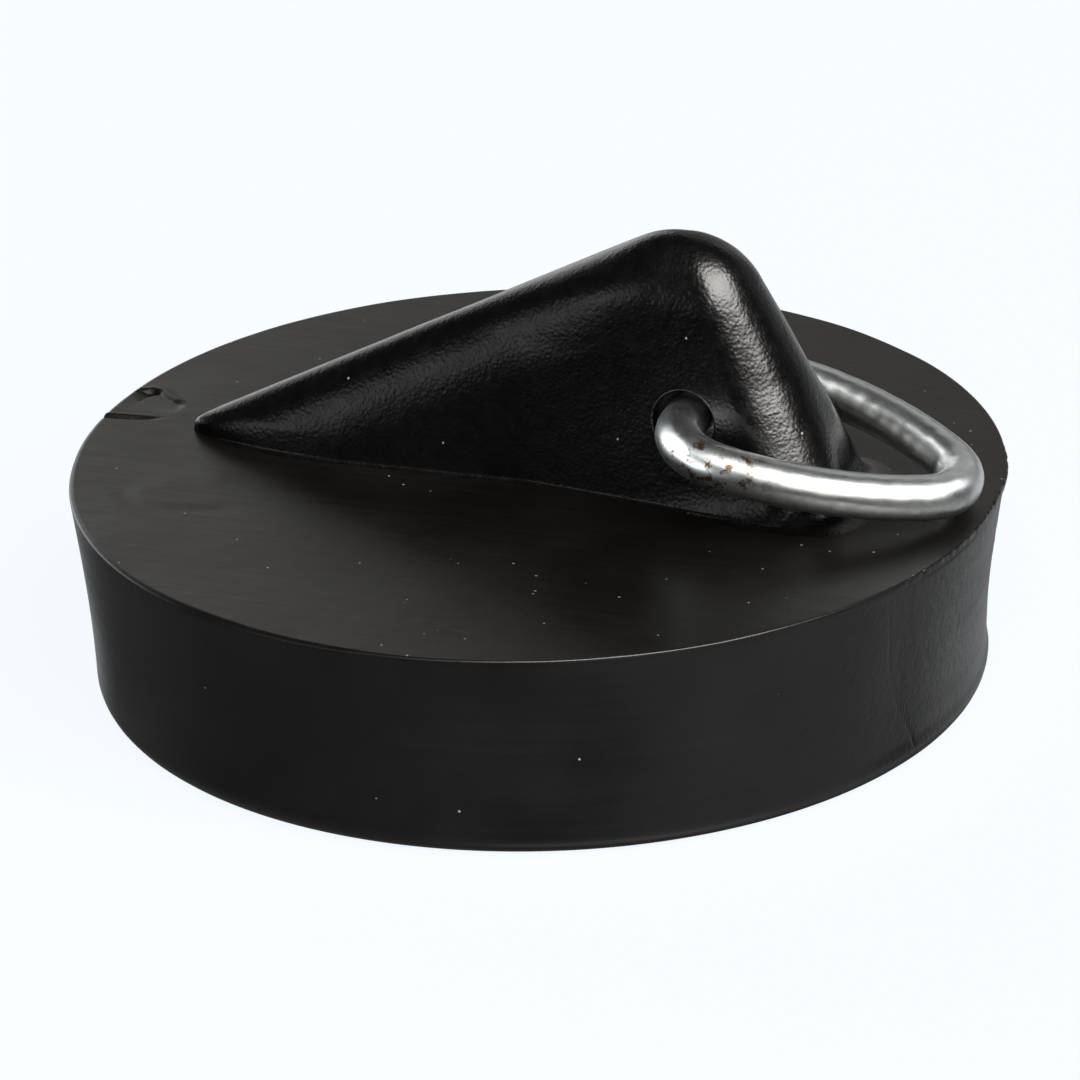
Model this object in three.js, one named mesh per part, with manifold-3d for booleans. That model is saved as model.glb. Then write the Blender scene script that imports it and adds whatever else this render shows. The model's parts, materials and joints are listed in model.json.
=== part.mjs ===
// A rubber sink plug with a wire pull ring.
// Millimetres, +Z up. The origin is the centre of the plug's underside.
// +X runs along the lug, from its low tail to its steep end.
// The plug is one moulding: a flared disc with a wedge-shaped lug on top and a hole across the lug.
// The ring is one bent wire that swings in that hole.
import * as THREE from "three";
import { mergeVertices } from "three/addons/utils/BufferGeometryUtils.js";
import Module from "manifold-3d";

const { PI, cos, hypot, max, min, sin, sqrt, tan } = Math;
const degrees = PI / 180;

// Disc.
const DISC_HEIGHT = 10.5;
const DISC_BASE_RADIUS = 21.55;
const DISC_TOP_RADIUS = 22.5;
const WALL_CURVE = 1.6; // how sharply the wall flares out towards the top edge
const BASE_CORNER_RADIUS = 1.0;
const TOP_EDGE_CHAMFER = 0.15;
const EDGE_HEIGHT = DISC_HEIGHT - TOP_EDGE_CHAMFER;
const DISC_SIDES = 96;
const WALL_STEPS = 6;
const CORNER_STEPS = 4;

// Lug. Heights are above the disc's top face.
const RIDGE_START_X = -18.85; // where the ridge line would meet the top face
const TAIL_END_X = -17.6; // the tail is blunt, so it stops short of that
const RIDGE_SLOPE = 27 * degrees;
const END_SLOPE = 65 * degrees;
const END_START_X = 16.25; // where the steep end would meet the top face
const APEX_RADIUS = 4.4;
const END_CROWN = 0.3; // the steep end bulges this far between the foot and the apex
const FOOT_FILLET = 2.2; // at the foot of the steep end
const RIDGE_RADIUS = 2.1; // the ridge is full-round across
const FLANK_SPREAD = 0.155; // half-width gained per millimetre of X, at the top face
const FLANK_TAPER_HEIGHT = 14; // where the flanks' spread would be gone
const FLANK_FOOT = 0.8; // the flanks flare out by this much at their foot, at the steep end
const FLANK_FOOT_HEIGHT = 1.4;
const END_CORNER_RADIUS = 3;
const LUG_ROOT = 1; // how far the lug's solid reaches down into the disc
const LUG_LEVELS = 22;
const LUG_POINTS = 26; // along one flank

// Cross hole in the lug. It is round, and wider than the wire.
const HOLE_X = 8.35;
const HOLE_HEIGHT = 4.35;
const HOLE_RADIUS = 1.55;
const HOLE_SIDES = 32;
const CUTTER_LENGTH = 12; // wider than the lug

// Pull ring. The wire's straight run lies low in the hole, and the ring hangs down from it to the top face.
const WIRE_RADIUS = 1.1;
const PIVOT_X = 8.25;
const PIVOT_HEIGHT = 4.2;
const RING_SHIFT_Y = -0.28; // the ring is free to slide along the hole, and sits off its middle
const RING_REACH = 13.15; // from the straight run to the far end, at the wire's centre
const RING_HALF_WIDTH = 5.6;
const RING_CORNER_RADIUS = 2.9;
const RING_TIP_RADIUS = 3.0;
const RING_REST_GAP = 0.28; // between the ring's far end and the top face
const BUTT_GAP = 0.3; // between the wire's two ends, hidden in the hole
const WIRE_SIDES = 12;
const RING_STEPS = 84;

const wasm = await Module();
wasm.setup();

function toSolid(geometry) {
  geometry.deleteAttribute("normal");
  geometry.deleteAttribute("uv");
  const merged = mergeVertices(geometry, 1e-4);
  const mesh = new wasm.Mesh({
    numProp: 3,
    vertProperties: merged.attributes.position.array,
    triVerts: new Uint32Array(merged.index.array),
  });
  return new wasm.Manifold(mesh);
}

function toGeometry(solid) {
  const mesh = solid.getMesh();
  const geometry = new THREE.BufferGeometry();
  geometry.setAttribute("position", new THREE.BufferAttribute(mesh.vertProperties, 3));
  geometry.setIndex(new THREE.BufferAttribute(mesh.triVerts, 1));
  geometry.computeVertexNormals();
  return geometry;
}

// The wall is nearly upright at the base and flares out to the top edge.
function wallRadius(height) {
  return DISC_BASE_RADIUS + (DISC_TOP_RADIUS - DISC_BASE_RADIUS) * (height / EDGE_HEIGHT) ** WALL_CURVE;
}

function makeDisc() {
  const profile = [new THREE.Vector2(0, 0)];
  for (let i = 0; i <= CORNER_STEPS; i++) {
    const angle = (i / CORNER_STEPS) * 90 * degrees;
    const radius = wallRadius(BASE_CORNER_RADIUS) - BASE_CORNER_RADIUS * (1 - sin(angle));
    profile.push(new THREE.Vector2(radius, BASE_CORNER_RADIUS * (1 - cos(angle))));
  }
  for (let i = 1; i <= WALL_STEPS; i++) {
    const height = BASE_CORNER_RADIUS + (i / WALL_STEPS) * (EDGE_HEIGHT - BASE_CORNER_RADIUS);
    profile.push(new THREE.Vector2(wallRadius(height), height));
  }
  profile.push(new THREE.Vector2(DISC_TOP_RADIUS - TOP_EDGE_CHAMFER, DISC_HEIGHT));
  profile.push(new THREE.Vector2(0, DISC_HEIGHT));
  return new THREE.LatheGeometry(profile, DISC_SIDES).rotateX(90 * degrees);
}

// The arc that rounds the apex touches the ridge line and the steep end's line.
function apexCentre() {
  const cornerX =
    (END_START_X * tan(END_SLOPE) + RIDGE_START_X * tan(RIDGE_SLOPE)) / (tan(RIDGE_SLOPE) + tan(END_SLOPE));
  const cornerHeight = (cornerX - RIDGE_START_X) * tan(RIDGE_SLOPE);
  const distance = APEX_RADIUS / cos((RIDGE_SLOPE + END_SLOPE) / 2);
  const x = cos(END_SLOPE) - cos(RIDGE_SLOPE);
  const height = -sin(END_SLOPE) - sin(RIDGE_SLOPE);
  const length = hypot(x, height);
  return { x: cornerX + (x / length) * distance, height: cornerHeight + (height / length) * distance };
}

const apex = apexCentre();
const LUG_HEIGHT = apex.height + APEX_RADIUS;

// X of the lug's outline at a height, on the ridge side and on the steep side.
function ridgeX(height) {
  if (height > apex.height + APEX_RADIUS * cos(RIDGE_SLOPE))
    return apex.x - sqrt(max(APEX_RADIUS ** 2 - (height - apex.height) ** 2, 0));
  return RIDGE_START_X + height / tan(RIDGE_SLOPE);
}

function steepX(height) {
  if (height > apex.height + APEX_RADIUS * cos(END_SLOPE))
    return apex.x + sqrt(max(APEX_RADIUS ** 2 - (height - apex.height) ** 2, 0));
  const crown = END_CROWN * sin((PI * height) / (apex.height + APEX_RADIUS * cos(END_SLOPE)));
  if (height > FOOT_FILLET * (1 - cos(END_SLOPE))) return END_START_X - height / tan(END_SLOPE) + crown;
  const filletX = END_START_X + FOOT_FILLET * tan(END_SLOPE / 2);
  return filletX - sqrt(FOOT_FILLET ** 2 - (FOOT_FILLET - height) ** 2) + crown;
}

// Half the lug's width at a height, before the two ends are rounded off.
function flankHalfWidth(x, height) {
  const spread = FLANK_SPREAD * max(x, 0) * (1 - height / FLANK_TAPER_HEIGHT);
  const foot = FLANK_FOOT * (max(x, 0) / END_START_X) * max(1 - height / FLANK_FOOT_HEIGHT, 0) ** 2;
  const aboveRound = max(height - (LUG_HEIGHT - RIDGE_RADIUS), 0) / RIDGE_RADIUS;
  return (RIDGE_RADIUS + spread + foot) * sqrt(max(1 - aboveRound ** 2, 0));
}

// One flank of the lug's level section, from the tail to the steep end, as [x, half-width].
function flankLine(height) {
  const back = max(ridgeX(height), TAIL_END_X);
  const front = steepX(height);
  const tailRound = min(ridgeX(height) + RIDGE_RADIUS / sin(RIDGE_SLOPE) - back, (front - back) / 2);
  const cornerX = front - END_CORNER_RADIUS;
  const corner = min(END_CORNER_RADIUS, flankHalfWidth(max(cornerX, 0), height), (front - back) / 2);
  const line = [];
  for (let i = 0; i <= LUG_POINTS; i++) {
    const x = back + ((front - back) * (1 - cos((i / LUG_POINTS) * PI))) / 2;
    const tail = min((x - back) / tailRound, 1);
    const end = min((front - x) / corner, 1);
    const widest = flankHalfWidth(min(x, front - corner), height);
    const tailShape = sqrt(1 - (1 - tail) ** 2);
    const endShape = widest - corner * (1 - sqrt(max(1 - (1 - end) ** 2, 0)));
    line.push([x, min(widest * tailShape, endShape)]);
  }
  line[0][1] = 0;
  return line;
}

// The lug is level sections joined from its root up to the apex, closer together near the top.
function makeLug() {
  const positions = [];
  const faces = [];
  const around = 2 * LUG_POINTS + 2;
  const heights = [-LUG_ROOT];
  for (let i = 0; i < LUG_LEVELS; i++) heights.push(LUG_HEIGHT * sin((i / LUG_LEVELS) * 90 * degrees));
  for (const height of heights) {
    const line = flankLine(max(height, 0));
    for (const [x, half] of line) positions.push(x, -half, DISC_HEIGHT + height);
    for (const [x, half] of line.toReversed()) positions.push(x, half, DISC_HEIGHT + height);
  }
  for (let level = 0; level + 1 < heights.length; level++) {
    for (let i = 0; i < around; i++) {
      const a = level * around + i;
      const b = level * around + ((i + 1) % around);
      faces.push(a, b, b + around, a, b + around, a + around);
    }
  }
  const top = (heights.length - 1) * around;
  const apexPoint = positions.length / 3;
  positions.push(apex.x, 0, DISC_HEIGHT + LUG_HEIGHT);
  const rootPoint = apexPoint + 1;
  positions.push(0, 0, DISC_HEIGHT - LUG_ROOT);
  for (let i = 0; i < around; i++) {
    const next = (i + 1) % around;
    faces.push(top + i, top + next, apexPoint);
    faces.push(next, i, rootPoint);
  }
  const geometry = new THREE.BufferGeometry();
  geometry.setAttribute("position", new THREE.Float32BufferAttribute(positions, 3));
  geometry.setIndex(faces);
  return geometry;
}

function makeHoleCutter() {
  const cutter = new THREE.CylinderGeometry(HOLE_RADIUS, HOLE_RADIUS, CUTTER_LENGTH, HOLE_SIDES);
  return cutter.translate(HOLE_X, 0, DISC_HEIGHT + HOLE_HEIGHT);
}

function makePlugBody() {
  const body = toSolid(makeDisc()).add(toSolid(makeLug())).subtract(toSolid(makeHoleCutter()));
  const rubber = new THREE.MeshStandardMaterial({ color: 0x1c1b1c, roughness: 0.6, metalness: 0 });
  const mesh = new THREE.Mesh(toGeometry(body), rubber);
  mesh.name = "plug_body";
  return mesh;
}

// The ring's outline in its own plane: x away from the straight run, y along it.
// Each side is an arc that meets the corner arc and the tip arc smoothly.
function ringOutline() {
  const straightHalf = RING_HALF_WIDTH - RING_CORNER_RADIUS;
  const tipX = RING_REACH - RING_TIP_RADIUS;
  const alongSide = tipX - RING_CORNER_RADIUS;
  const narrowing = RING_HALF_WIDTH - RING_TIP_RADIUS;
  const sideRadius = (alongSide ** 2 + RING_HALF_WIDTH ** 2 - RING_TIP_RADIUS ** 2) / (2 * narrowing);
  const sideY = RING_HALF_WIDTH - sideRadius;
  const sideTurn = Math.atan2(-sideY, alongSide);
  const path = new THREE.Path();
  path.moveTo(0, BUTT_GAP / 2);
  path.lineTo(0, straightHalf);
  path.absarc(RING_CORNER_RADIUS, straightHalf, RING_CORNER_RADIUS, PI, PI / 2, true);
  path.absarc(RING_CORNER_RADIUS, sideY, sideRadius, PI / 2, sideTurn, true);
  path.absarc(tipX, 0, RING_TIP_RADIUS, sideTurn, -sideTurn, true);
  path.absarc(RING_CORNER_RADIUS, -sideY, sideRadius, -sideTurn, -PI / 2, true);
  path.absarc(RING_CORNER_RADIUS, -straightHalf, RING_CORNER_RADIUS, -PI / 2, -PI, true);
  path.lineTo(0, -BUTT_GAP / 2);
  return path;
}

class WirePath extends THREE.Curve {
  constructor(outline) {
    super();
    this.outline = outline;
  }
  getPoint(t) {
    const point = this.outline.getPointAt(t);
    return new THREE.Vector3(point.x, point.y, 0);
  }
}

function makePullRing() {
  const section = new THREE.Shape().absarc(0, 0, WIRE_RADIUS, 0, 2 * PI, false);
  const wire = new THREE.ExtrudeGeometry(section, {
    extrudePath: new WirePath(ringOutline()),
    steps: RING_STEPS,
    curveSegments: WIRE_SIDES / 2,
    bevelEnabled: false,
  });
  const zinc = new THREE.MeshStandardMaterial({ color: 0xa9aba8, roughness: 0.35, metalness: 1 });
  const mesh = new THREE.Mesh(wire, zinc);
  mesh.name = "pull_ring";
  const drop = PIVOT_HEIGHT - (WIRE_RADIUS + RING_REST_GAP);
  mesh.position.set(PIVOT_X, RING_SHIFT_Y, DISC_HEIGHT + PIVOT_HEIGHT);
  mesh.rotation.y = Math.asin(drop / RING_REACH);
  return mesh;
}

const sinkPlug = new THREE.Group();
sinkPlug.add(makePlugBody(), makePullRing());

export default sinkPlug;
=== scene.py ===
"""A black rubber sink plug with a wedge-shaped lug and a swinging zinc-plated wire ring.

The plug is one moulding and the ring is one bent wire. Each is a detailed mesh that stands for a CAD solid.
Lengths of shapes are in millimetres, and they become metres when a mesh is made. Lengths in the materials
and in the camera and lamps are in metres.
"""

import json
import math

import bpy
import numpy as np
from mathutils import Matrix, Vector


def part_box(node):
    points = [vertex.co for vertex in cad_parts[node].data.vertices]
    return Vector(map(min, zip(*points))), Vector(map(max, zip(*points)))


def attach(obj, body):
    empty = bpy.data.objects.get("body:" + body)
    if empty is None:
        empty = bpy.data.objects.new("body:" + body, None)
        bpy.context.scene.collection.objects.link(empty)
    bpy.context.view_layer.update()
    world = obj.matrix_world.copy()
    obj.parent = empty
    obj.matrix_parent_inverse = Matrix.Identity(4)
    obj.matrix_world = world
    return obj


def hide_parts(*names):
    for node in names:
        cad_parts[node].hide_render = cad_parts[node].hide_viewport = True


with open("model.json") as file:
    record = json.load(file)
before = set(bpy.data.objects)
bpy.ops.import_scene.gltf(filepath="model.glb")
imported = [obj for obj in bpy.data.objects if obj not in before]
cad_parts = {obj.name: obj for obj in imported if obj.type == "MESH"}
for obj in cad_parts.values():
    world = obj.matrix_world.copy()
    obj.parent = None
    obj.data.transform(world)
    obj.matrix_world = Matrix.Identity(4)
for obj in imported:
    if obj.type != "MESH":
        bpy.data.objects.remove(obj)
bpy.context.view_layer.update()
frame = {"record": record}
plug_low, plug_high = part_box("plug_body")
hinge = next(j for j in frame["record"]["behaviour"]["joints"] if j["name"] == "ring_swing")

MM = 0.001
DEGREES = math.pi / 180

# Disc.
DISC_TOP = 10.5
BASE_RADIUS = 21.55
TOP_RADIUS = (plug_high.x - plug_low.x) / 2 / MM
WALL_CURVE = 1.6
BASE_CORNER = 1.0
EDGE_ROUND = 0.24
WORN_EDGE_ROUND = 0.07
EDGE_HEIGHT = 10.35
NICK_DEPTH = 0.07
WALL_FINE_START = 9.4

# Lug. Heights are above the disc's top face.
RIDGE_START_X = -18.85
TAIL_END_X = -17.6
RIDGE_SLOPE = 27 * DEGREES
END_SLOPE = 65 * DEGREES
END_START_X = 16.25
APEX_RADIUS = 4.4
END_CROWN = 0.3
FOOT_FILLET = 1.3
RIDGE_HALF_WIDTH = 2.1
RIDGE_DEPTH = 4.0
APEX_DEPTH = 3.2
FLANK_SPREAD = 0.155
FLANK_TAPER_HEIGHT = 14
FLANK_FOOT = 0.8
FLANK_FOOT_HEIGHT = 1.4
END_CORNER = 3
TAIL_ROUND = 0.5
TAIL_POINT_LENGTH = 0.5
TAIL_POINT_HEIGHT = 1.3
FLANK_FILLET = 0.12
FLANK_FILLET_HEIGHT = 0.16
FLASH = 0.16
END_CORNER_FLASH = 0.18
FLASH_HEIGHT = 0.07
LUG_ROOT = 0.8
LUG_POINTS = 110
APEX_ROWS_DEPTH = 2.6
HOLE_X = 8.35
HOLE_HEIGHT = 4.35
HOLE_RADIUS = 1.55
HOLE_LIP = 0.18
HOLE_MOUTH_FLARE = 1.35
HOLE_SIDES = 96

# Ring. The hinge's place is the centre of the wire's straight run.
WIRE_RADIUS = 1.1
PIVOT_X = hinge["pos_m"][0] / MM
PIVOT_Z = hinge["pos_m"][2] / MM
RING_SHIFT_Y = -0.28
RING_REACH = 13.15
RING_HALF_WIDTH = 5.6
RING_CORNER = 2.9
RING_TIP = 3.0
RING_REST_GAP = 0.28
BUTT_GAP = 0.3
WIRE_SIDES = 36
RING_STEPS = 520
WIRE_ENDS = ((0.72, 0.0), (0.92, 0.04))
WIRE_START_INSET = 0.14

PLUG_SHARP_ANGLE = 38 * DEGREES
RING_SHARP_ANGLE = 50 * DEGREES

# Camera: a long lens, turned a little towards the steep end and looking down at the plug. The azimuth and
# elevation are in degrees, the roll in radians and the distance in metres.
CAMERA_AZIMUTH = 18.8
CAMERA_ELEVATION = 23.48
CAMERA_ROLL = 1.69 * DEGREES
CAMERA_DISTANCE = 0.450
CAMERA_LENS = 312.4
CAMERA_SENSOR = 36
CAMERA_SHIFT = (0.0026, -0.069)

# Room. The floor is a lit table, so that shadows on it stay pale.
LAMP_DISTANCE = 1.3
ROOM_LIGHT = 0.02
FLOOR_GLOW = 0.95
FLOOR_HALF = 3000
# The floor lies just under the plug, so that the two never share a plane.
FLOOR_HEIGHT = -0.01


# The plug's material slots.
TOP, WALL, LUG, UNDER = range(4)


# ---------------------------------------------------------------- meshes

def make_mesh(name, points, faces, materials, material_index=None):
    mesh = bpy.data.meshes.new(name)
    mesh.from_pydata((np.asarray(points) * MM).tolist(), [], faces)
    for material in materials:
        mesh.materials.append(material)
    if material_index is not None:
        mesh.polygons.foreach_set("material_index", np.asarray(material_index, np.int32))
    mesh.update()
    mesh.validate()
    piece = bpy.data.objects.new(name, mesh)
    bpy.context.scene.collection.objects.link(piece)
    return piece


def grid_faces(rows, columns):
    """Quads between closed rings of points, ordered row by row, facing outwards for rows that go up."""
    faces = []
    for row in range(rows - 1):
        low, high = row * columns, (row + 1) * columns
        for i in range(columns):
            j = (i + 1) % columns
            faces.append((low + i, low + j, high + j, high + i))
    return faces


def closed_loft(rings):
    """Points and faces of a solid that runs through the rings and is closed by a fan at each end."""
    columns = len(rings[0])
    points = np.concatenate([*rings, rings[0].mean(axis=0)[None], rings[-1].mean(axis=0)[None]])
    faces = grid_faces(len(rings), columns)
    first, last = len(points) - 2, len(points) - 1
    top = (len(rings) - 1) * columns
    for i in range(columns):
        j = (i + 1) % columns
        faces.append((first, j, i))
        faces.append((last, top + i, top + j))
    return points, faces


NOISE_WAVES = 14


def smooth_noise(points, scale, seed):
    """Gentle unevenness between about -1 and 1, made from a few waves in seeded directions."""
    rng = np.random.default_rng(seed)
    total = np.zeros(len(points))
    for _ in range(NOISE_WAVES):
        direction = rng.normal(size=points.shape[1])
        direction /= np.linalg.norm(direction)
        wave = rng.uniform(0.6, 1.7) / scale * 2 * math.pi
        total += np.sin(points @ direction * wave + rng.uniform(0, 2 * math.pi))
    return total / 5


def smooth_step(value, start, end):
    """0 up to the start, 1 from the end, and a smooth rise between them."""
    t = np.clip((value - start) / (end - start), 0, 1)
    return t * t * (3 - 2 * t)


def bump(value, centre, width):
    """A bell curve, 1 at its centre."""
    return np.exp(-(((value - centre) / width) ** 2))


def along_path(points, path):
    """For each point: signed distance to the path (positive on its left) and share of the way along it."""
    path = np.asarray(path, float)
    lengths = np.linalg.norm(np.diff(path, axis=0), axis=1)
    starts = np.concatenate([[0], np.cumsum(lengths)])
    best = np.full(len(points), 1e9)
    signed = np.full(len(points), 1e9)
    share = np.zeros(len(points))
    for i, length in enumerate(lengths):
        a, b = path[i], path[i + 1]
        unit = (b - a) / length
        t = np.clip((points - a) @ unit, 0, length)
        away = points - (a + t[:, None] * unit)
        distance = np.hypot(away[:, 0], away[:, 1])
        side = np.where(unit[0] * away[:, 1] - unit[1] * away[:, 0] >= 0, 1.0, -1.0)
        nearer = distance < best
        best = np.where(nearer, distance, best)
        signed = np.where(nearer, distance * side, signed)
        share = np.where(nearer, (starts[i] + t) / starts[-1], share)
    return signed, share


def groove(points, path, width, depth, lip=0.0, ends=0.12):
    """Height change of a groove along a path, with a raised lip on its left. It fades out at its ends."""
    signed, share = along_path(points, path)
    fade = smooth_step(share, 0, ends) * smooth_step(1 - share, 0, ends)
    cut = -depth * np.exp(-((signed / width) ** 2))
    raised = lip * np.exp(-(((signed - 1.8 * width) / width) ** 2))
    return (cut + raised) * fade


# ---------------------------------------------------------------- disc

# A torn flap at the rim beyond the lug's tail, between a far edge and a near edge. Its surface sinks
# towards the far edge, which stands up as a lip.
TEAR_FAR = [
    (-22.3, 3.75), (-21.7, 4.15), (-21.1, 4.22), (-20.7, 4.05), (-20.2, 3.55), (-19.66, 3.1), (-19.1, 2.8),
]
TEAR_NEAR = [(-23.2, 0.5), (-22.0, 0.6), (-21.0, 0.7), (-20.1, 0.85), (-19.5, 1.1), (-19.2, 1.5)]
TEAR_DEPTH = 0.3
TEAR_CLOSED_SHARE = 0.22
TEAR_WALL = 0.15
TEAR_FAR_LIP = 0.06
TEAR_NEAR_CUT = 0.13
TEAR_NEAR_LIP = 0.08
DIMPLE_ARC = [(-18.7, -7.87), (-17.2, -9.2), (-15.8, -9.56), (-14.6, -9.26), (-13.2, -8.9), (-12.2, -8.4)]
SCRATCH = [(-1.8, -18.0), (0.6, -18.7), (3.1, -19.4)]
SWELLING_HEIGHT = 0.02
# Two low swellings beside the dimple, as centre and radius.
SWELLINGS = [((-16.4, -6.6), 1.1), ((-14.5, -5.5), 0.9)]
# The crack in the wall, as angle in degrees and height.
CRACK = [(-24.6, 9.6), (-23.7, 7.6), (-23.2, 5.9), (-21.1, 3.9), (-19.1, 2.7), (-17.6, 1.7), (-17.1, 0.7)]
DISC_COLUMNS = 570
CRACK_WIDTH = 0.06
CRACK_DEPTH = 0.07
BULGE_HEIGHT = 0.12
BULGE_ANGLE = 14
WORN_HOLLOW = 0.10
WORN_STEP = 0.10
WORN_SKIN = 0.012
UNDER_RING_RADIUS = 16.5
UNDER_RING_DEPTH = 0.06
GATE_MARK_DEPTH = 0.15
GATE_MARK_RADIUS = 1.8


def disc_angles():
    """Angles of the disc's columns, closer together at the torn flap, the crack and the worn rim."""
    fine = np.linspace(-190, 170, 7201)
    density = 1 + 5.5 * bump(fine, -186, 6) + 5.5 * bump(fine, 174, 6)
    density += 4.5 * bump(fine, -20.5, 5) + 1.6 * bump(fine, -2, 16)
    total = np.concatenate([[0], np.cumsum((density[1:] + density[:-1]) / 2)])
    wanted = np.linspace(0, total[-1], DISC_COLUMNS + 1)[:-1]
    return np.interp(wanted, total, fine) * DEGREES


def wall_radius(height):
    return BASE_RADIUS + (TOP_RADIUS - BASE_RADIUS) * np.clip(height / EDGE_HEIGHT, 0, 1) ** WALL_CURVE


def worn_side(angle):
    """1 on the side of the steep end, where the rim is worn and the wall is rough, and 0 elsewhere."""
    degrees = angle / DEGREES
    return smooth_step(degrees, -30, -20) * smooth_step(-degrees, -26, -14)


def rim_wear(angle):
    """How far the top edge is nicked back, in millimetres."""
    degrees = angle / DEGREES
    ragged = 0.25 + 0.3 * np.sin(degrees * 0.9)
    ragged += 0.35 * np.sin(degrees * 2.3 + 1) + 0.3 * np.sin(degrees * 4.1 + 2)
    everywhere = 0.012 * np.sin(degrees * 0.11 + 1) + 0.006 * np.sin(degrees * 0.37)
    return np.clip(NICK_DEPTH * worn_side(angle) * np.clip(ragged, 0, 1) + everywhere, 0, 1)


def edge_round(angle):
    """Radius of the rounding of the top edge, which is sharper on the side of the steep end."""
    sharper = smooth_step(angle / DEGREES, -115, -60) * smooth_step(-angle / DEGREES, -60, 0)
    return EDGE_ROUND + (WORN_EDGE_ROUND - EDGE_ROUND) * sharper


def disc_profile():
    """The disc's outline from the underside's middle to the top's middle.

    Each row holds a radius, a height, its share of the edge wear, and whether it is on the rounded top edge.
    """
    rows = []
    for radius in (1.5, 4, 7, 10, 13, 16, 18, 19.2, 20.0):
        rows.append((radius, 0.0, 0.0, False))
    corner_radius = wall_radius(BASE_CORNER) - BASE_CORNER
    for angle in np.linspace(0, 90, 9) * DEGREES:
        radius = corner_radius + BASE_CORNER * math.sin(angle)
        rows.append((radius, BASE_CORNER * (1 - math.cos(angle)), 0.0, False))
    for height in np.linspace(BASE_CORNER, WALL_FINE_START, 28)[1:]:
        rows.append((wall_radius(height), height, 0.0, False))
    for height in np.linspace(WALL_FINE_START, DISC_TOP - EDGE_ROUND, 11)[1:]:
        share = smooth_step(height, 9.8, DISC_TOP - EDGE_ROUND)
        rows.append((wall_radius(height), height, share, False))
    for angle in np.linspace(0, 90, 7)[1:] * DEGREES:
        inset = EDGE_ROUND * (1 - math.cos(angle))
        rows.append((TOP_RADIUS - inset, DISC_TOP - EDGE_ROUND * (1 - math.sin(angle)), 1.0, True))
    for radius in np.linspace(22.28, 18.9, 37):
        rows.append((radius, DISC_TOP, 0.0, False))
    for radius in np.linspace(18.9, 12, 19)[1:]:
        rows.append((radius, DISC_TOP, 0.0, False))
    for radius in (11, 10, 9, 8, 7, 6, 5, 4, 3, 2, 1):
        rows.append((radius, DISC_TOP, 0.0, False))
    return rows


def tear_relief(flat):
    """The torn flap: it sinks towards its far edge, and each edge has a thin lip beside a cut."""
    far, far_share = along_path(flat, TEAR_FAR)
    near, near_share = along_path(flat, TEAR_NEAR)
    between = smooth_step(-far, 0, TEAR_WALL) * smooth_step(near, -0.05, 0.05)
    slope = np.clip(near / np.maximum(near - far, 0.2), 0, 1) ** 1.4
    opening = smooth_step(far_share, 0, 0.12) * smooth_step(-far_share, -0.56, -0.36)
    right = smooth_step(-flat[:, 0], 18.9, 19.4)
    inside = 0.15 + 0.85 * smooth_step(TOP_RADIUS - np.hypot(flat[:, 0], flat[:, 1]), 0, 1)
    open_share = TEAR_CLOSED_SHARE + (1 - TEAR_CLOSED_SHARE) * opening
    change = -TEAR_DEPTH * between * slope * open_share * right * inside
    far_ends = smooth_step(far_share, 0.1, 0.4) * smooth_step(1 - far_share, 0, 0.15)
    change += TEAR_FAR_LIP * bump(far, 0.16, 0.13) * far_ends
    change -= TEAR_NEAR_CUT * bump(near, -0.12, 0.12) * smooth_step(1 - near_share, 0.05, 0.5)
    change += TEAR_NEAR_LIP * bump(near, 0.16, 0.14) * smooth_step(1 - near_share, 0.1, 0.6)
    return change


def top_relief(flat):
    """Height change of the top face: unevenness, the flap, a dimple, a scratch and two low swellings."""
    change = 0.012 * smooth_noise(flat, 9.0, 11) + 0.003 * smooth_noise(flat, 2.6, 12)
    change += tear_relief(flat)
    change += groove(flat, DIMPLE_ARC, 0.5, 0.022, lip=0.012)
    change += groove(flat, SCRATCH, 0.1, 0.02, lip=0.015)
    for (x, y), radius in SWELLINGS:
        change += SWELLING_HEIGHT * bump(np.hypot(flat[:, 0] - x, flat[:, 1] - y), 0, radius)
    return change


def wall_relief(angle, height, points):
    """Change of the wall's radius: slow waviness, the crack, and a hollow, rough skin on the worn side."""
    worn = worn_side(angle)
    change = 0.012 * smooth_noise(points, 9.0, 21)
    unrolled = np.stack([angle * BASE_RADIUS, height], axis=1)
    path = [(a * DEGREES * BASE_RADIUS, h) for a, h in CRACK]
    low = 0.25 + 0.75 * smooth_step(-height, -5, -1)
    change += low * groove(unrolled, path, CRACK_WIDTH, CRACK_DEPTH, ends=0.06)
    change -= worn * (WORN_HOLLOW * bump(height, 6.4, 3.4) + WORN_STEP * smooth_step(-height, -10.1, -9.8))
    skin = smooth_noise(points, 0.9, 22) * smooth_noise(points * [1, 1, 0.8], 1.7, 24)
    change += WORN_SKIN * worn * skin * smooth_step(height, 1.5, 4)
    return change


def under_relief(radius):
    """The underside is flat where the plug rests, with a faint moulding ring and a gate mark."""
    moulding = UNDER_RING_DEPTH * smooth_step(-np.abs(radius - UNDER_RING_RADIUS), -0.9, -0.2)
    return moulding + GATE_MARK_DEPTH * bump(radius, 0, GATE_MARK_RADIUS)


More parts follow.
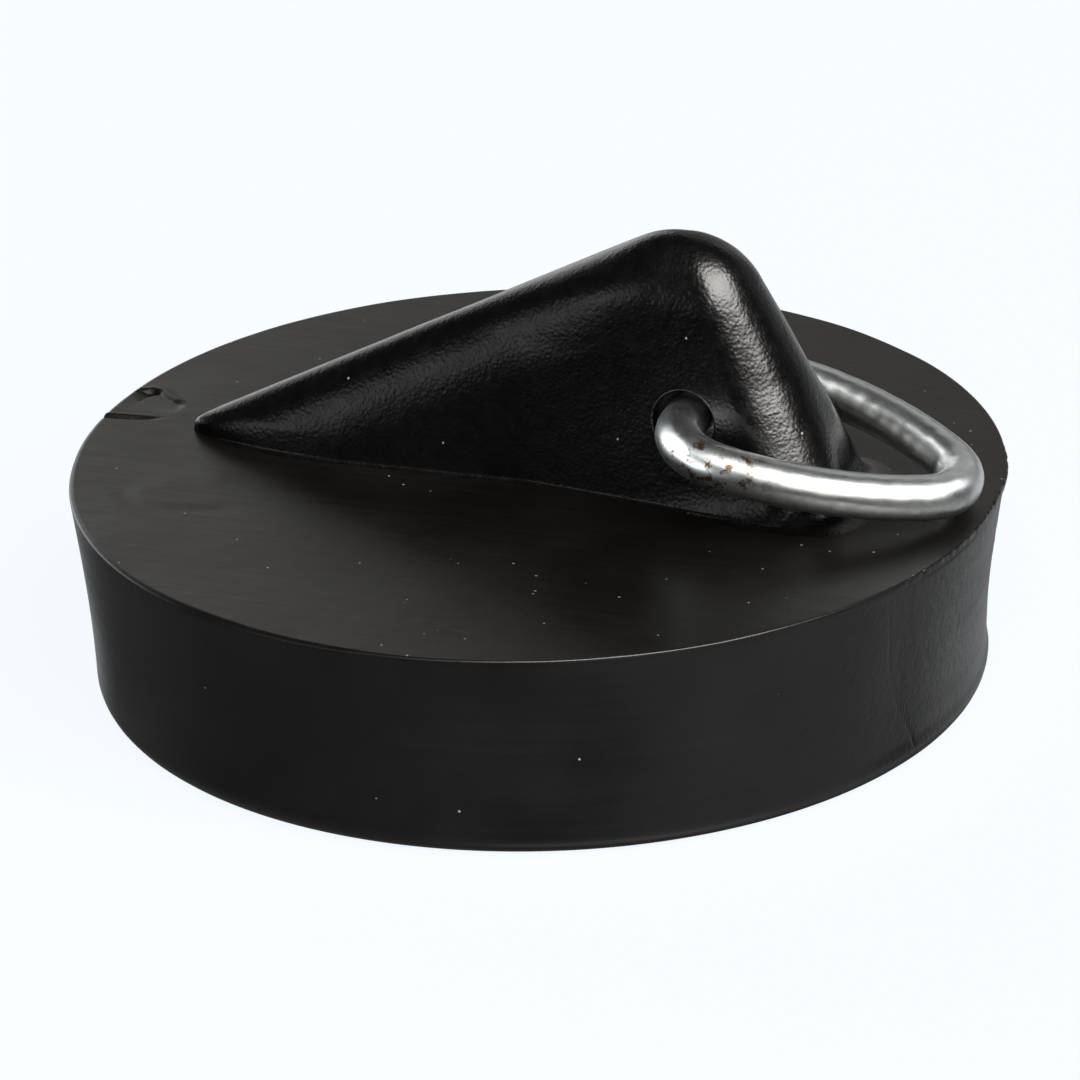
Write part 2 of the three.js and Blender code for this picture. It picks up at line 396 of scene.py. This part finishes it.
def disc_points(profile, angles):
    """The disc's level rings of points, one for each row of the profile, with all its wear and relief."""
    wear = rim_wear(angles)
    rounding = edge_round(angles)
    bulge = BULGE_HEIGHT * bump(angles / DEGREES, BULGE_ANGLE, 6)
    rings = []
    for radius, height, share, rounded in profile:
        r = np.full(len(angles), float(radius))
        z = np.full(len(angles), float(height))
        on_top = height > DISC_TOP - 1e-6 and not rounded
        if rounded:
            r = TOP_RADIUS - (TOP_RADIUS - radius) * rounding / EDGE_ROUND
            z = DISC_TOP - (DISC_TOP - height) * rounding / EDGE_ROUND
        if on_top:
            r = np.minimum(r, TOP_RADIUS - rounding - wear - 0.02 * (TOP_RADIUS - radius))
        else:
            r -= wear * share * smooth_step(height, 9.9, DISC_TOP)
            drop = smooth_step(height, 9.6, DISC_TOP) * smooth_step(DISC_TOP - height, 0, 0.05)
            z -= wear * 0.8 * share * drop
        if height > 0:
            r += bulge * smooth_step(radius, 20, 22) * smooth_step(height, 3, 9)
        flat = np.stack([r * np.cos(angles), r * np.sin(angles)], axis=1)
        if on_top or rounded:
            z += top_relief(flat) * smooth_step(height, 10.2, DISC_TOP)
        elif height > BASE_CORNER:
            body = np.concatenate([flat, z[:, None]], axis=1)
            r += wall_relief(angles, z, body) * smooth_step(-height, -DISC_TOP, -9.9)
            flat = np.stack([r * np.cos(angles), r * np.sin(angles)], axis=1)
        elif height == 0:
            z += under_relief(r)
        rings.append(np.concatenate([flat, z[:, None]], axis=1))
    return rings


def make_disc(materials):
    profile = disc_profile()
    points, faces = closed_loft(disc_points(profile, disc_angles()))
    index = []
    for row in range(len(profile) - 1):
        height = (profile[row][1] + profile[row + 1][1]) / 2
        kind = UNDER if height < 0.02 else TOP if height > DISC_TOP - 0.08 else WALL
        index.extend([kind] * DISC_COLUMNS)
    index.extend([UNDER, TOP] * DISC_COLUMNS)
    return make_mesh("plug", points, faces, materials, index)


# ---------------------------------------------------------------- lug

def apex_centre():
    """Place and height of the centre of the arc that joins the ridge to the steep end."""
    corner_x = END_START_X * math.tan(END_SLOPE) + RIDGE_START_X * math.tan(RIDGE_SLOPE)
    corner_x /= math.tan(RIDGE_SLOPE) + math.tan(END_SLOPE)
    corner_height = (corner_x - RIDGE_START_X) * math.tan(RIDGE_SLOPE)
    distance = APEX_RADIUS / math.cos((RIDGE_SLOPE + END_SLOPE) / 2)
    x = math.cos(END_SLOPE) - math.cos(RIDGE_SLOPE)
    height = -math.sin(END_SLOPE) - math.sin(RIDGE_SLOPE)
    length = math.hypot(x, height)
    return corner_x + x / length * distance, corner_height + height / length * distance


APEX_X, APEX_HEIGHT = apex_centre()
LUG_HEIGHT = APEX_HEIGHT + APEX_RADIUS


def ridge_x(height):
    """Where the ridge's back is at this height."""
    if height > APEX_HEIGHT + APEX_RADIUS * math.cos(RIDGE_SLOPE):
        return APEX_X - math.sqrt(max(APEX_RADIUS**2 - (height - APEX_HEIGHT) ** 2, 0))
    return RIDGE_START_X + height / math.tan(RIDGE_SLOPE)


def steep_x(height):
    """Where the steep end's face is at this height, with its slight crown and the fillet at its foot."""
    arc_start = APEX_HEIGHT + APEX_RADIUS * math.cos(END_SLOPE)
    if height > arc_start:
        return APEX_X + math.sqrt(max(APEX_RADIUS**2 - (height - APEX_HEIGHT) ** 2, 0))
    crown = END_CROWN * math.sin(math.pi * height / arc_start)
    if height > FOOT_FILLET * (1 - math.cos(END_SLOPE)):
        return END_START_X - height / math.tan(END_SLOPE) + crown
    fillet_x = END_START_X + FOOT_FILLET * math.tan(END_SLOPE / 2)
    return fillet_x - math.sqrt(FOOT_FILLET**2 - (FOOT_FILLET - height) ** 2) + crown


def soft_max(a, b, rounding):
    """The larger of two numbers, with a smooth change from one to the other."""
    return (a + b + math.hypot(a - b, rounding)) / 2


def flank_half_width(x, height):
    """Half the lug's width. The flanks spread towards the steep end and close over the ridge."""
    x = np.maximum(x, 0)
    spread = FLANK_SPREAD * x * (1 - height / FLANK_TAPER_HEIGHT)
    foot = FLANK_FOOT * (x / END_START_X) ** 3 * np.maximum(1 - height / FLANK_FOOT_HEIGHT, 0) ** 2
    above = np.maximum(height - (LUG_HEIGHT - APEX_DEPTH), 0) / APEX_DEPTH
    return (RIDGE_HALF_WIDTH + spread + foot) * np.sqrt(np.maximum(1 - above**2, 0))


def lug_section(height):
    """One level section of the lug: a closed ring of points, the near flank and then the far one."""
    h = max(height, 0)
    back = soft_max(ridge_x(h), TAIL_END_X, TAIL_ROUND)
    front = steep_x(h)
    tail_round = min(ridge_x(h) + RIDGE_DEPTH / math.sin(RIDGE_SLOPE) - back, (front - back) / 2)
    widest_end = float(flank_half_width(max(front - END_CORNER, 0), h))
    corner = min(END_CORNER, widest_end, (front - back) / 2)
    pointed = max(1 - h / TAIL_POINT_HEIGHT, 0)
    tail_round += TAIL_POINT_LENGTH * pointed
    t = np.linspace(0, 1, LUG_POINTS + 1)
    x = back + (front - back) * (1 - np.cos(t * math.pi)) / 2
    tail = np.minimum((x - back) / tail_round, 1)
    end = np.minimum((front - x) / corner, 1)
    widest = flank_half_width(np.minimum(x, front - corner), h)
    by_tail = widest * np.maximum(1 - (1 - tail) ** 2, 0) ** (0.5 + 0.3 * pointed)
    by_end = widest - corner * (1 - np.sqrt(np.maximum(1 - (1 - end) ** 2, 0)))
    half = np.maximum(np.minimum(by_tail, by_end), 0)
    half[0] = 0
    near = np.stack([x, -half], axis=1)
    far = np.stack([x[::-1], half[::-1]], axis=1)[1:-1]
    ring = np.concatenate([near, far])
    return np.concatenate([ring, np.full((len(ring), 1), height)], axis=1)


def lug_levels():
    """Heights of the lug's level sections, closer together at its foot and towards its apex."""
    low = [-LUG_ROOT, 0, 0.03, 0.06, 0.1, 0.16, 0.24, 0.35, 0.5, 0.7]
    middle = np.linspace(0.9, LUG_HEIGHT - APEX_ROWS_DEPTH, 44)
    angles = np.linspace(0, 1, 34)[1:-1] * 90 * DEGREES
    top = LUG_HEIGHT - APEX_ROWS_DEPTH + APEX_ROWS_DEPTH * np.sin(angles)
    return [*low, *middle, *top, LUG_HEIGHT - 0.0015]


def lug_relief(points):
    """Outward change of the lug's skin: slow unevenness, and a ragged line of flash along its foot."""
    height = points[:, 2]
    change = 0.018 * smooth_noise(points, 6.0, 31) + 0.005 * smooth_noise(points, 1.8, 32)
    change = change * smooth_step(height, 0.3, 1.2)
    ragged = np.clip(0.5 + 0.8 * smooth_noise(points[:, :1], 1.3, 33), 0, 1.2)
    along = smooth_step(points[:, 0], -16, -14) * smooth_step(-points[:, 0], -9, -1)
    corner = bump(points[:, 0], 16.4, 1.6)
    fillet = FLANK_FILLET * np.maximum(1 - np.maximum(height, 0) / FLANK_FILLET_HEIGHT, 0) ** 2
    flash = FLASH * along * ragged + END_CORNER_FLASH * corner
    skirt = fillet + flash * bump(np.maximum(height, 0), 0, FLASH_HEIGHT)
    return change + skirt * smooth_step(points[:, 0], -17, -15)


def ring_normals(ring):
    """Horizontal outward directions of a level ring of points."""
    ahead = np.roll(ring, -1, axis=0) - np.roll(ring, 1, axis=0)
    outward = np.stack([ahead[:, 1], -ahead[:, 0]], axis=1)
    length = np.maximum(np.linalg.norm(outward, axis=1), 1e-9)
    return outward / length[:, None]


def make_lug(materials):
    rings = []
    for height in lug_levels():
        ring = lug_section(height)
        settle = smooth_step(LUG_HEIGHT - height, 0.02, 0.5)
        ring[:, :2] += ring_normals(ring) * (lug_relief(ring) * settle)[:, None]
        ring[:, 2] += DISC_TOP
        rings.append(ring)
    points, faces = closed_loft(rings)
    return make_mesh("lug", points, faces, materials, [LUG] * len(faces))


def hole_cutter(materials):
    """A round bar across the lug. It flares as it leaves each flank, which rounds the hole's mouths."""
    angles = np.linspace(0, 2 * math.pi, HOLE_SIDES, endpoint=False)
    depths = [2.0, 1.2, HOLE_LIP]
    depths += [HOLE_LIP * (1 - math.sin(a * DEGREES)) for a in (12, 24, 36, 48, 60, 72)]
    rings = []
    for side in (-1, 1):
        stations = depths + [-0.25]
        if side < 0:
            stations = stations[::-1]
        for depth in stations:
            inset = min(max(depth / HOLE_LIP, 0), 1)
            flare = HOLE_LIP * (1 - math.sqrt(max(1 - (1 - inset) ** 2, 0)))
            if depth < 0:
                flare = HOLE_LIP * HOLE_MOUTH_FLARE
            radius = HOLE_RADIUS + flare
            x = HOLE_X + radius * np.cos(angles)
            height = HOLE_HEIGHT - radius * np.sin(angles)
            y = side * (flank_half_width(x, height) - depth)
            rings.append(np.stack([x, y, height + DISC_TOP], axis=1))
    points, faces = closed_loft(rings)
    return make_mesh("cutter", points, faces, materials, [LUG] * len(faces))


def combine(piece, other, operation):
    """Join the other solid to the piece, or cut it out, and delete the other solid."""
    modifier = piece.modifiers.new(operation.lower(), "BOOLEAN")
    modifier.operation = operation
    modifier.object = other
    modifier.solver = "MANIFOLD"
    depsgraph = bpy.context.evaluated_depsgraph_get()
    result = bpy.data.meshes.new_from_object(piece.evaluated_get(depsgraph))
    piece.modifiers.clear()
    piece.data = result
    bpy.data.objects.remove(other)


def make_plug(materials):
    plug = make_disc(materials)
    lug = make_lug(materials)
    combine(lug, hole_cutter(materials), "DIFFERENCE")
    combine(plug, lug, "UNION")
    plug.data.name = "plug"
    plug.data.shade_smooth()
    plug.data.set_sharp_from_angle(angle=PLUG_SHARP_ANGLE)
    return plug


# ---------------------------------------------------------------- ring

def arc(centre, radius, start, end, steps):
    angles = np.linspace(start, end, steps)
    return np.stack([centre[0] + radius * np.cos(angles), centre[1] + radius * np.sin(angles)], axis=1)


def ring_outline():
    """The wire's centre line in its own plane, from one end of the butt joint round to the other."""
    along_side = RING_REACH - RING_TIP - RING_CORNER
    side_radius = (along_side**2 + RING_HALF_WIDTH**2 - RING_TIP**2) / (2 * (RING_HALF_WIDTH - RING_TIP))
    side_centre = (RING_CORNER, RING_HALF_WIDTH - side_radius)
    tip_centre = (RING_REACH - RING_TIP, 0)
    meet = math.atan2(tip_centre[1] - side_centre[1], tip_centre[0] - side_centre[0])
    run = np.linspace(BUTT_GAP / 2, RING_HALF_WIDTH - RING_CORNER, 40)
    straight = np.stack([np.zeros(len(run)), run], axis=1)
    corner = arc((RING_CORNER, RING_HALF_WIDTH - RING_CORNER), RING_CORNER, math.pi, math.pi / 2, 80)
    side = arc(side_centre, side_radius, math.pi / 2, meet, 90)
    tip = arc(tip_centre, RING_TIP, meet, 0, 60)
    half = np.concatenate([straight, corner[1:], side[1:], tip[1:]])
    mirrored = half[::-1][1:] * [1, -1]
    return resample(np.concatenate([half, mirrored]), RING_STEPS)


def resample(line, steps):
    lengths = np.concatenate([[0], np.cumsum(np.linalg.norm(np.diff(line, axis=0), axis=1))])
    wanted = np.linspace(0, lengths[-1], steps)
    return np.stack([np.interp(wanted, lengths, line[:, k]) for k in range(2)], axis=1)


def ring_plane():
    """Directions along, across and out of the ring at rest, with its tip just above the top face."""
    drop = PIVOT_Z - DISC_TOP - (WIRE_RADIUS + RING_REST_GAP)
    tilt = math.asin(drop / RING_REACH)
    reach = np.array([math.cos(tilt), 0, -math.sin(tilt)])
    across = np.array([0, 1, 0])
    return reach, across, np.cross(reach, across)


def wire_relief(along, around):
    """Change of the wire's radius: slow unevenness, and faint drawing marks along the wire."""
    place = np.stack([along, around * WIRE_RADIUS], axis=1)
    return 0.008 * smooth_noise(place, 1.4, 41) + 0.004 * smooth_noise(place * [0.25, 1], 0.35, 42)


def wire_stations(last):
    """Places of the wire's round sections: the outline's index, share of the radius, and shift ahead."""
    start = [(0, share, shift) for share, shift in WIRE_ENDS]
    middle = [(0, 1.0, WIRE_START_INSET)] + [(i, 1.0, 0.0) for i in range(1, last + 1)]
    end = [(last, share, -shift) for share, shift in reversed(WIRE_ENDS)]
    return start + middle + end


def make_ring(material):
    line = ring_outline()
    reach, across, normal = ring_plane()
    ahead = np.gradient(line, axis=0)
    ahead /= np.linalg.norm(ahead, axis=1)[:, None]
    lengths = np.concatenate([[0], np.cumsum(np.linalg.norm(np.diff(line, axis=0), axis=1))])
    around = np.linspace(0, 2 * math.pi, WIRE_SIDES, endpoint=False)
    origin = np.array([PIVOT_X, RING_SHIFT_Y, PIVOT_Z])
    rings = []
    for index, share, offset in wire_stations(len(line) - 1):
        centre = line[index] + ahead[index] * offset
        place = np.full(WIRE_SIDES, lengths[index])
        radius = (WIRE_RADIUS + wire_relief(place, around) * (share == 1.0)) * share
        outward = np.array([-ahead[index][1], ahead[index][0]])
        flat = centre[0] * reach + centre[1] * across
        out = outward[0] * reach + outward[1] * across
        round_wire = np.cos(around)[:, None] * out + np.sin(around)[:, None] * normal
        rings.append(origin + flat + radius[:, None] * round_wire)
    points, faces = closed_loft(rings)
    piece = make_mesh("ring", points, faces, [material])
    piece.data.shade_smooth()
    piece.data.set_sharp_from_angle(angle=RING_SHARP_ANGLE)
    return piece


# ---------------------------------------------------------------- materials

class Nodes:
    """Short calls for building a material's node tree."""

    def __init__(self, name):
        self.material = bpy.data.materials.new(name)
        self.material.use_nodes = True
        self.tree = self.material.node_tree
        self.shader = self.tree.nodes["Principled BSDF"]
        self.place = self.tree.nodes.new("ShaderNodeTexCoord").outputs["Object"]

    def link(self, source, target):
        self.tree.links.new(source, target)

    def scaled(self, scale, turn=0.0):
        node = self.tree.nodes.new("ShaderNodeMapping")
        node.inputs["Scale"].default_value = scale
        node.inputs["Rotation"].default_value = (0, 0, turn)
        self.link(self.place, node.inputs["Vector"])
        return node.outputs["Vector"]

    def noise(self, scale, detail=3.0, rough=0.55, vector=None, warp=0.0):
        node = self.tree.nodes.new("ShaderNodeTexNoise")
        node.inputs["Scale"].default_value = scale
        node.inputs["Detail"].default_value = detail
        node.inputs["Roughness"].default_value = rough
        node.inputs["Distortion"].default_value = warp
        self.link(vector or self.place, node.inputs["Vector"])
        return node.outputs["Fac"]

    def voronoi(self, scale, feature="F1", vector=None, output="Distance", randomness=1.0):
        node = self.tree.nodes.new("ShaderNodeTexVoronoi")
        node.feature = feature
        node.inputs["Scale"].default_value = scale
        node.inputs["Randomness"].default_value = randomness
        self.link(vector or self.place, node.inputs["Vector"])
        return node.outputs[output]

    def ramp(self, value, stops):
        node = self.tree.nodes.new("ShaderNodeValToRGB")
        elements = node.color_ramp.elements
        while len(elements) < len(stops):
            elements.new(0.5)
        for element, (position, colour) in zip(elements, stops):
            element.position = position
            shade = colour if isinstance(colour, tuple) else (colour,) * 3
            element.color = (*shade, 1)
        self.link(value, node.inputs["Fac"])
        return node.outputs["Color"]

    def span(self, value, low, high, to_low=0.0, to_high=1.0):
        node = self.tree.nodes.new("ShaderNodeMapRange")
        for key, number in (("From Min", low), ("From Max", high), ("To Min", to_low), ("To Max", to_high)):
            node.inputs[key].default_value = number
        self.link(value, node.inputs["Value"])
        return node.outputs["Result"]

    def maths(self, operation, a, b=None):
        node = self.tree.nodes.new("ShaderNodeMath")
        node.operation = operation
        for socket, value in zip(node.inputs, (a, b)):
            if isinstance(value, (int, float)):
                socket.default_value = value
            elif value is not None:
                self.link(value, socket)
        return node.outputs["Value"]

    def mix(self, share, a, b):
        node = self.tree.nodes.new("ShaderNodeMix")
        node.data_type = "RGBA"
        self.link(share, node.inputs["Factor"])
        for socket, value in ((node.inputs[6], a), (node.inputs[7], b)):
            if isinstance(value, tuple):
                socket.default_value = (*value, 1)
            else:
                self.link(value, socket)
        return node.outputs[2]

    def bump(self, height, distance, normal=None):
        node = self.tree.nodes.new("ShaderNodeBump")
        node.inputs["Distance"].default_value = distance
        self.link(height, node.inputs["Height"])
        if normal is not None:
            self.link(normal, node.inputs["Normal"])
        return node.outputs["Normal"]

    def axis(self, name, vector=None):
        node = self.tree.nodes.new("ShaderNodeSeparateXYZ")
        self.link(vector or self.place, node.inputs["Vector"])
        return node.outputs[name]

    def finish(self, colour, roughness, normal, **constants):
        self.link(colour, self.shader.inputs["Base Color"])
        self.link(roughness, self.shader.inputs["Roughness"])
        self.link(normal, self.shader.inputs["Normal"])
        for name, value in constants.items():
            self.shader.inputs[name.replace("_", " ")].default_value = value
        return self.material


def dust(nodes, amount=0.03, size=0.075, scale=2000):
    """A mask of tiny pale specks, scattered unevenly: the middles of a few randomly chosen cells."""
    near = nodes.voronoi(scale)
    cell = nodes.voronoi(scale, output="Color")
    crowd = nodes.span(nodes.noise(110, 2), 0.4, 0.65, 1 - amount * 0.4, 1 - amount * 3)
    chosen = nodes.maths("GREATER_THAN", nodes.axis("X", cell), crowd)
    close = nodes.span(near, size, size * 2, 1.0, 0.0)
    return nodes.maths("MULTIPLY", chosen, close)


def lug_rubber():
    """Moulded rubber with a fine leathery grain."""
    n = Nodes("rubber_lug")
    patches = n.noise(260, 3)
    colour = n.ramp(patches, [(0.3, (0.0007, 0.0007, 0.0008)), (0.7, (0.0014, 0.0013, 0.0014))])
    colour = n.mix(dust(n, 0.008), colour, (0.22, 0.21, 0.19))
    roughness = n.span(n.noise(1500, 2), 0.3, 0.7, 0.22, 0.30)
    pebbles = n.voronoi(6000, "SMOOTH_F1")
    fine = n.noise(6500, 2)
    grain = n.bump(n.noise(2300, 2), 0.000014)
    grain = n.bump(pebbles, 0.000014, grain)
    grain = n.bump(fine, 0.000006, grain)
    return n.finish(colour, roughness, grain, Specular_IOR_Level=0.5)


def top_rubber():
    """The plug's top face: smooth, with fine scratches nearly along the lug."""
    n = Nodes("rubber_top")
    streaks = n.noise(1, 4, 0.6, n.scaled((150, 2600, 300), 0.12))
    patches = n.noise(130, 4)
    colour = n.ramp(patches, [(0.3, (0.0012, 0.0010, 0.0008)), (0.7, (0.0028, 0.0024, 0.0019))])
    colour = n.mix(dust(n, 0.03), colour, (0.15, 0.145, 0.12))
    gloss = n.span(streaks, 0.3, 0.7, -0.04, 0.04)
    roughness = n.maths("ADD", n.span(patches, 0.3, 0.7, 0.33, 0.42), gloss)
    marks = n.bump(streaks, 0.000006)
    marks = n.bump(n.noise(2600, 3), 0.000006, marks)
    return n.finish(colour, roughness, marks, Specular_IOR_Level=0.34)


def wall_rubber():
    """The plug's wall: satin, with faint level lines, and rough on the worn side."""
    n = Nodes("rubber_wall")
    lines = n.noise(1, 4, 0.6, n.scaled((60, 60, 2200)))
    patches = n.noise(170, 3)
    colour = n.ramp(patches, [(0.3, (0.0013, 0.0013, 0.0014)), (0.7, (0.0028, 0.0027, 0.0028))])
    colour = n.mix(dust(n, 0.01), colour, (0.22, 0.21, 0.2))
    roughness = n.maths("ADD", n.span(patches, 0.3, 0.7, 0.30, 0.38), n.span(lines, 0.3, 0.7, -0.03, 0.04))
    marks = n.bump(lines, 0.000006)
    marks = n.bump(n.noise(3500, 3), 0.000007, marks)
    worn = n.span(n.axis("X"), 0.011, 0.020)
    marks = n.bump(n.maths("MULTIPLY", n.noise(3200, 3, 0.6), worn), 0.000028, marks)
    return n.finish(colour, roughness, marks, Specular_IOR_Level=0.5)


def under_rubber():
    """The plug's underside: matt and plain, because the photograph doesn't show it."""
    n = Nodes("rubber_under")
    patches = n.noise(150, 4)
    colour = n.ramp(patches, [(0.3, (0.010, 0.010, 0.0105)), (0.7, (0.020, 0.019, 0.019))])
    roughness = n.span(patches, 0.3, 0.7, 0.45, 0.6)
    grain = n.bump(n.noise(3000, 3), 0.00001)
    return n.finish(colour, roughness, grain, Specular_IOR_Level=0.4)


def zinc_wire():
    """Zinc-plated steel: bright and mottled, with a few rust spots on the near side."""
    n = Nodes("zinc_wire")
    mottle = n.noise(1100, 5, 0.65)
    specks = n.noise(5200, 3, 0.6)
    shades = [(0.3, (0.54, 0.56, 0.54)), (0.5, (0.68, 0.70, 0.685)), (0.72, (0.76, 0.78, 0.77))]
    colour = n.ramp(mottle, shades)
    by_lug = n.span(n.axis("X"), 0.0140, 0.0125)
    near_side = n.maths("MULTIPLY", by_lug, n.span(n.axis("Y"), -0.0055, -0.0062))
    rust = n.maths("MULTIPLY", near_side, n.span(n.noise(1700, 4, 0.7), 0.52, 0.60))
    colour = n.mix(rust, colour, (0.17, 0.115, 0.07))
    roughness = n.maths("ADD", n.span(mottle, 0.3, 0.7, 0.38, 0.27), n.span(specks, 0.3, 0.7, -0.02, 0.02))
    skin = n.bump(specks, 0.0000012)
    skin = n.bump(mottle, 0.000009, skin)
    return n.finish(colour, roughness, skin, Metallic=1.0)


# ---------------------------------------------------------------- room

def make_floor():
    n = Nodes("floor")
    tone = n.noise(3, 3)
    colour = n.ramp(tone, [(0.3, (0.135, 0.14, 0.142)), (0.7, (0.145, 0.15, 0.152))])
    roughness = n.span(tone, 0.3, 0.7, 0.75, 0.85)
    material = n.finish(colour, roughness, n.bump(n.noise(800, 2), 0.00002), Specular_IOR_Level=0.0)
    n.shader.inputs["Emission Color"].default_value = (0.93, 0.97, 1, 1)
    n.shader.inputs["Emission Strength"].default_value = FLOOR_GLOW
    signs = ((-1, -1), (1, -1), (1, 1), (-1, 1))
    corners = [(x * FLOOR_HALF, y * FLOOR_HALF, FLOOR_HEIGHT) for x, y in signs]
    floor = make_mesh("floor", corners, [(0, 1, 2, 3)], [material])
    floor.visible_glossy = False


def direction(azimuth, elevation):
    """A direction from the plug: azimuth 0 is towards -Y and 90 towards +X, in degrees."""
    a, e = azimuth * DEGREES, elevation * DEGREES
    return Vector((math.sin(a) * math.cos(e), -math.cos(a) * math.cos(e), math.sin(e)))


def softbox(name, azimuth, elevation, spread, radiance, colour=(1, 1, 1), only=None):
    """A rectangular lamp that faces the plug. Its spread is how wide and high it looks, in degrees."""
    lamp = bpy.data.lights.new(name, "AREA")
    lamp.shape = "RECTANGLE"
    lamp.size = 2 * LAMP_DISTANCE * math.tan(spread[0] / 2 * DEGREES)
    lamp.size_y = 2 * LAMP_DISTANCE * math.tan(spread[1] / 2 * DEGREES)
    lamp.energy = radiance * math.pi * lamp.size * lamp.size_y
    lamp.color = colour
    box = bpy.data.objects.new(name, lamp)
    towards = direction(azimuth, elevation)
    box.location = towards * LAMP_DISTANCE
    box.rotation_mode = "QUATERNION"
    box.rotation_quaternion = towards.to_track_quat("Z", "Y")
    box.visible_camera = False
    bpy.context.scene.collection.objects.link(box)
    if only is not None:
        receivers = bpy.data.collections.new(name + "_receivers")
        receivers.objects.link(only)
        box.light_linking.receiver_collection = receivers


class Sky(Nodes):
    """The room around the plug, as brightness by direction."""

    def __init__(self, name):
        self.world = bpy.data.worlds.new(name)
        self.world.use_nodes = True
        self.tree = self.world.node_tree
        self.shader = self.tree.nodes["Background"]
        self.shader.inputs["Color"].default_value = (0.96, 0.98, 1, 1)
        self.place = self.tree.nodes.new("ShaderNodeTexCoord").outputs["Generated"]
        self.height = self.axis("Z")
        self.level = self.vector_maths("NORMALIZE", self.scaled((1, 1, 0))).outputs["Vector"]
        self.brightness = None

    def vector_maths(self, operation, a):
        node = self.tree.nodes.new("ShaderNodeVectorMath")
        node.operation = operation
        self.link(a, node.inputs[0])
        return node

    def patch(self, azimuth, half_width, low, high, radiance, soft=5):
        """A soft-edged patch: azimuth, half its width, and its low and high edges, all in degrees."""
        towards = self.vector_maths("DOT_PRODUCT", self.level)
        towards.inputs[1].default_value = direction(azimuth, 0)
        outer = math.cos(min(half_width + soft, 180) * DEGREES)
        inner = math.cos((half_width - soft) * DEGREES)
        value = self.span(towards.outputs["Value"], outer, inner, 0.0, radiance)
        for edge, outwards in ((low, -soft), (high, soft)):
            start = math.sin((edge + outwards) * DEGREES)
            end = math.sin((edge - outwards) * DEGREES)
            value = self.maths("MULTIPLY", value, self.span(self.height, start, end))
        self.brightness = value if self.brightness is None else self.maths("ADD", self.brightness, value)

    def finish(self, least):
        self.link(self.maths("ADD", self.brightness, least), self.shader.inputs["Strength"])
        bpy.context.scene.world = self.world


def make_sky():
    sky = Sky("room")
    sky.patch(0, 175, -80, -28, 0.14, soft=6)
    sky.patch(95, 50, -60, -5, 0.21, soft=12)
    sky.patch(50, 60, -80, -56, 0.6)
    sky.patch(180, 42, -30, -3, 0.6)
    sky.patch(-112, 22, -16, 9, 2.0)
    sky.patch(-40, 11, -6, 14, 1.15)
    sky.patch(150, 25, -5, 30, 0.22)
    sky.finish(ROOM_LIGHT)


def make_lights(plug):
    """The key and back lamps light the plug alone. The others light everything."""
    softbox("key", 47, 41, (52, 40), 12.0, (1, 0.975, 0.94), only=plug)
    softbox("key_edge", 46, 41, (60, 52), 2.2, (1, 0.975, 0.94))
    softbox("back", -165, 22, (60, 45), 0.32, (1, 0.97, 0.94), only=plug)
    softbox("rim", -134, 14, (42, 34), 1.2)


def make_ring_lights(ring):
    """Reflector cards for the bright wire alone."""
    softbox("ring_key", 51, 41, (46, 40), 1.2, (1, 0.975, 0.94), only=ring)
    softbox("ring_left", -62, 8, (90, 40), 1.7, (0.93, 0.96, 1), only=ring)
    softbox("ring_start", -82, 30, (46, 44), 2.4, (0.95, 0.97, 1), only=ring)
    softbox("ring_top", 28, 60, (80, 42), 1.5, only=ring)
    softbox("ring_right", 102, 38, (60, 36), 2.0, (0.96, 0.98, 1), only=ring)
    softbox("ring_back", -176, 30, (40, 34), 0.4, only=ring)


def make_camera():
    camera = bpy.data.cameras.new("camera")
    camera.lens = CAMERA_LENS
    camera.sensor_width = CAMERA_SENSOR
    camera.shift_x, camera.shift_y = CAMERA_SHIFT
    camera.clip_start, camera.clip_end = 0.05, 20
    holder = bpy.data.objects.new("camera", camera)
    back = direction(CAMERA_AZIMUTH, CAMERA_ELEVATION)
    level_right = Vector((math.cos(CAMERA_AZIMUTH * DEGREES), math.sin(CAMERA_AZIMUTH * DEGREES), 0))
    level_up = back.cross(level_right)
    right = level_right * math.cos(CAMERA_ROLL) - level_up * math.sin(CAMERA_ROLL)
    up = level_up * math.cos(CAMERA_ROLL) + level_right * math.sin(CAMERA_ROLL)
    turn = Matrix((right, up, back)).transposed()
    place = Vector((0, 0, DISC_TOP * MM)) + back * CAMERA_DISTANCE
    holder.matrix_world = Matrix.Translation(place) @ turn.to_4x4()
    bpy.context.scene.collection.objects.link(holder)
    bpy.context.scene.camera = holder


make_camera()
make_sky()
make_floor()

plug = make_plug([top_rubber(), wall_rubber(), lug_rubber(), under_rubber()])
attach(plug, "plug")
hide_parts("plug_body")
make_lights(plug)

ring = make_ring(zinc_wire())
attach(ring, "ring")
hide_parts("pull_ring")
make_ring_lights(ring)

bpy.context.scene.view_settings.view_transform = "Standard"
